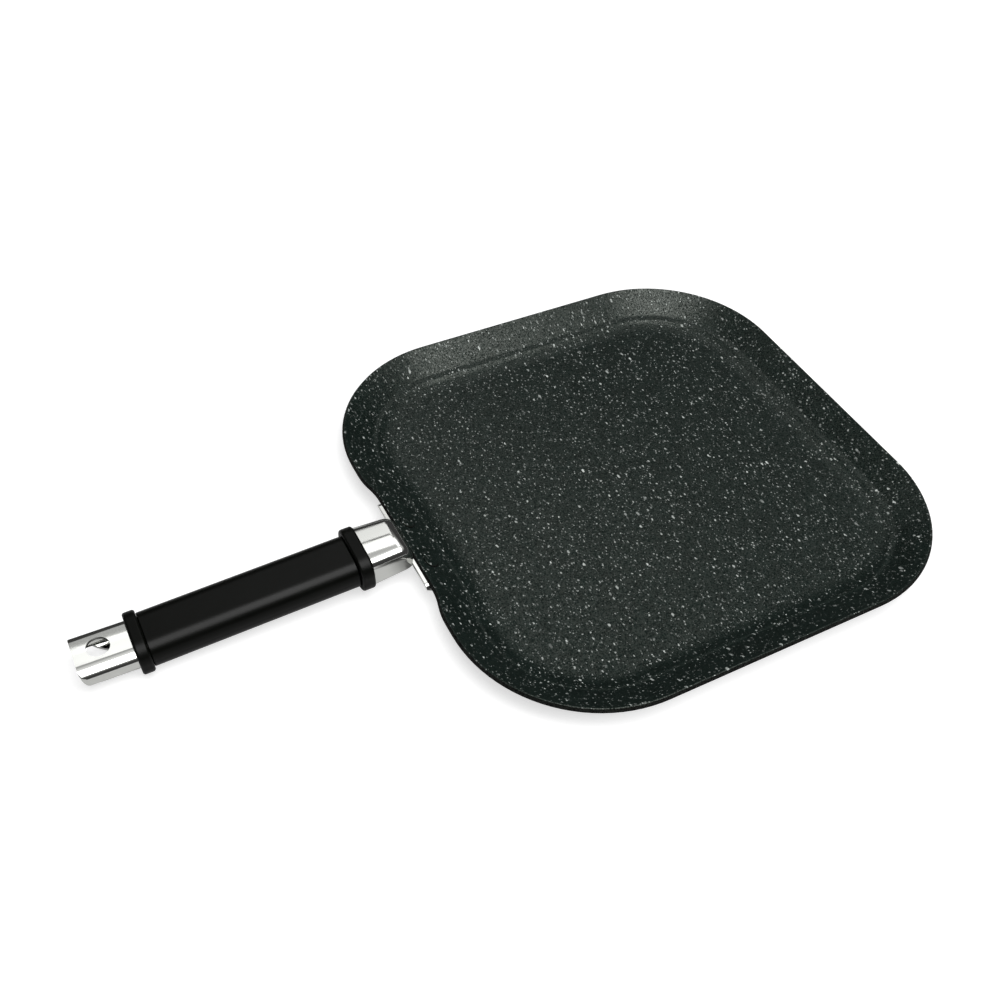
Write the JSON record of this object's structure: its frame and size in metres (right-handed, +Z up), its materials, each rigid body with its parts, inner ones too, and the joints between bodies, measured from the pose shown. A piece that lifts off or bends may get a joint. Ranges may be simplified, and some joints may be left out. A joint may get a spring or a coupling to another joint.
{
  "type": "griddle pan",
  "caption": "Square griddle pan with large rounded corners, a shallow flared wall and a long handle with a moulded grip, two collars and a hanging hole.",
  "frame": {"origin": "middle of the flat underside of the base", "axes": "+Z up, the handle points along -Y, +X across the handle"},
  "size_m": [0.2824, 0.4497, 0.0275],
  "materials": {
    "pan_coating": "dark stone-look non-stick coating with pale specks, satin",
    "tang_chrome": "bright plated pressed steel",
    "grip_moulding": "black moulded phenolic, satin",
    "collar_moulding": "black moulded ring, satin",
    "rivet_coating": "rivets coated like the pan"
  },
  "bodies": {
    "root": {"pan_body": "pan_coating", "handle_tang": "tang_chrome", "handle_grip": "grip_moulding", "front_collar": "collar_moulding", "rear_collar": "collar_moulding", "rivets": "rivet_coating"}
  },
  "joints": []
}
